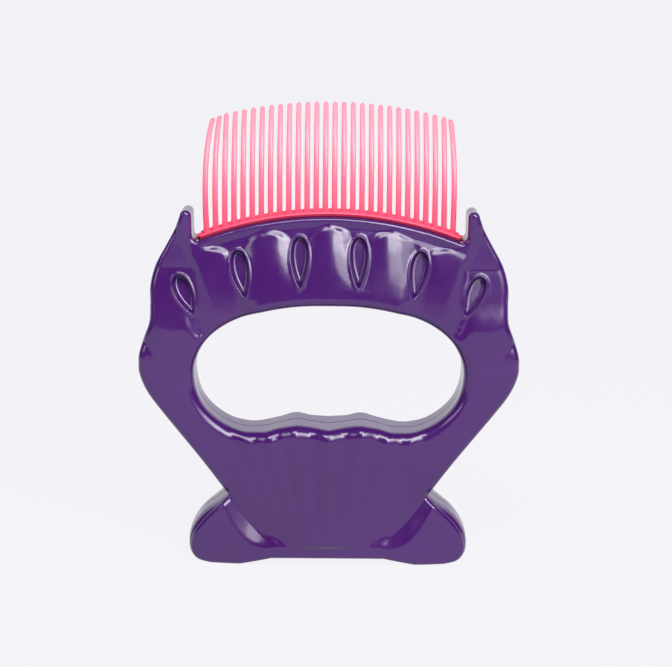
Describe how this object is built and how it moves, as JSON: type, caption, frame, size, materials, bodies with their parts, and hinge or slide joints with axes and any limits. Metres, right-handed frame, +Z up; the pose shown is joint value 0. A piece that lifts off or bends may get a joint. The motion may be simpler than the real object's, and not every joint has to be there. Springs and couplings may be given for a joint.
{
  "type": "grooming comb",
  "caption": "Hand-held shell-shaped grooming comb: hollow plastic body with a finger hole, horns and feet, and a comb of long curved teeth along its arched top.",
  "frame": {"origin": "on the plane that the two feet stand on, centred between the feet and on the parting plane of the shells", "axes": "+Z up towards the tips of the teeth, front face towards -Y, X across the width"},
  "size_m": [0.1204, 0.025, 0.1465],
  "materials": {
    "body_plastic": "glossy moulded purple",
    "comb_plastic": "satin moulded pink, slightly translucent",
    "screw_steel": "zinc-plated"
  },
  "bodies": {
    "root": {"front_shell": "body_plastic", "back_shell": "body_plastic", "comb": "comb_plastic", "screw_top_left": "screw_steel", "screw_top_right": "screw_steel", "screw_side_left": "screw_steel", "screw_side_right": "screw_steel", "screw_base_left": "screw_steel", "screw_base_right": "screw_steel"}
  },
  "joints": []
}
